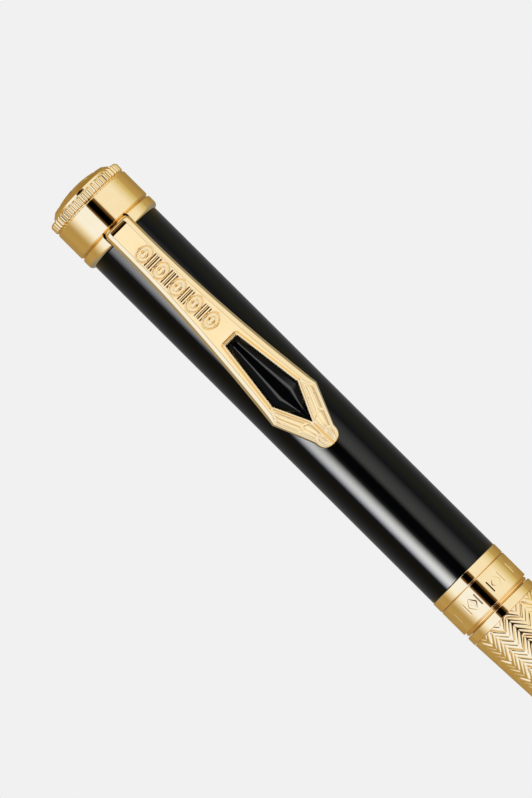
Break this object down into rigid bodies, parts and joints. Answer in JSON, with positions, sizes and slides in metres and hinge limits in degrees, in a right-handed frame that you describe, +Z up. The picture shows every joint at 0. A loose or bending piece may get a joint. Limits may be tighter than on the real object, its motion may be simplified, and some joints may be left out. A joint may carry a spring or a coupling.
{
  "type": "rollerball pen",
  "caption": "Twist-action rollerball pen with a lacquered upper barrel, gilt sprung clip, domed crown, engraved tapering lower barrel and an open-socket gel refill.",
  "frame": {"origin": "middle of the pen's length, under its axis, at the height of its lowest point, with the pen lying down, clip up", "axes": "+X along the pen from the crown to the writing point, +Z up through the clip"},
  "size_m": [0.138, 0.012, 0.0146],
  "materials": {
    "polished_gold": "gold-plated brass, mirror polished",
    "engraved_gold": "gold-plated brass, engraved and brushed",
    "black_lacquer": "brass tube in deep gloss black lacquer",
    "black_inlay": "faceted black resin, polished",
    "plain_brass": "turned, unplated",
    "spring_steel": "drawn wire and stamped strip, bright",
    "white_nylon": "moulded, satin",
    "black_rubber": "smooth nitrile",
    "refill_plastic": "moulded end plug",
    "refill_steel": "drawn steel tube, satin",
    "refill_nickel": "turned nickel silver",
    "clear_grease": "translucent grease",
    "black_ink": "gel ink, wet black",
    "carbide_ball": "ground carbide"
  },
  "bodies": {
    "upper": {"crown_medallion": "polished_gold", "reeded_ring": "polished_gold", "crown_cap": "polished_gold", "crown_stud": "plain_brass", "clip_collar": "polished_gold", "clip_ring": "spring_steel", "top_plug": "plain_brass", "upper_barrel": "black_lacquer", "trim_ring": "polished_gold", "centre_band": "polished_gold", "thrust_bush": "white_nylon", "cam_sleeve": "white_nylon"},
    "clip": {"clip_arm": "polished_gold", "clip_inlay": "black_inlay"},
    "drive": {"guide_tube": "plain_brass", "retaining_ring": "spring_steel", "barrel_o_ring": "black_rubber"},
    "refill": {"follower": "white_nylon", "follower_pin": "spring_steel", "refill_plug": "refill_plastic", "refill_tube": "refill_steel", "ink_float": "clear_grease", "ink_column": "black_ink", "refill_tip": "refill_nickel", "ball_spring": "spring_steel"},
    "ball": {"tip_ball": "carbide_ball"},
    "lower": {"lower_ring": "polished_gold", "lower_barrel": "engraved_gold", "barrel_insert": "plain_brass", "nose_ring": "polished_gold", "nose_cone": "polished_gold", "return_spring": "spring_steel"}
  },
  "joints": [
    {"name": "clip_flex", "type": "hinge", "parent": "upper", "child": "clip", "pos_m": [-0.06105, 0, 0.0104], "axis": [0, -1, 0], "range_deg": [0, 3], "stiffness_Nm_per_rad": 1.2},
    {"name": "twist", "type": "hinge", "parent": "upper", "child": "drive", "pos_m": [0, 0, 0.00605], "axis": [1, 0, 0], "range_deg": [0, 180]},
    {"name": "refill_advance", "type": "slide", "parent": "drive", "child": "refill", "axis": [1, 0, 0], "range_m": [0, 0.0045], "deforming": ["return_spring"]},
    {"name": "ball_roll", "type": "hinge", "parent": "refill", "child": "ball", "pos_m": [0.06715, 0, 0.00605], "axis": [0, 1, 0], "continuous": true},
    {"name": "barrel_draw_off", "type": "slide", "parent": "drive", "child": "lower", "axis": [1, 0, 0], "range_m": [0, 0.105]}
  ],
  "couplings": [
    {"joint": "refill_advance", "follows": "twist", "m_per_rad": 0.0014324}
  ]
}
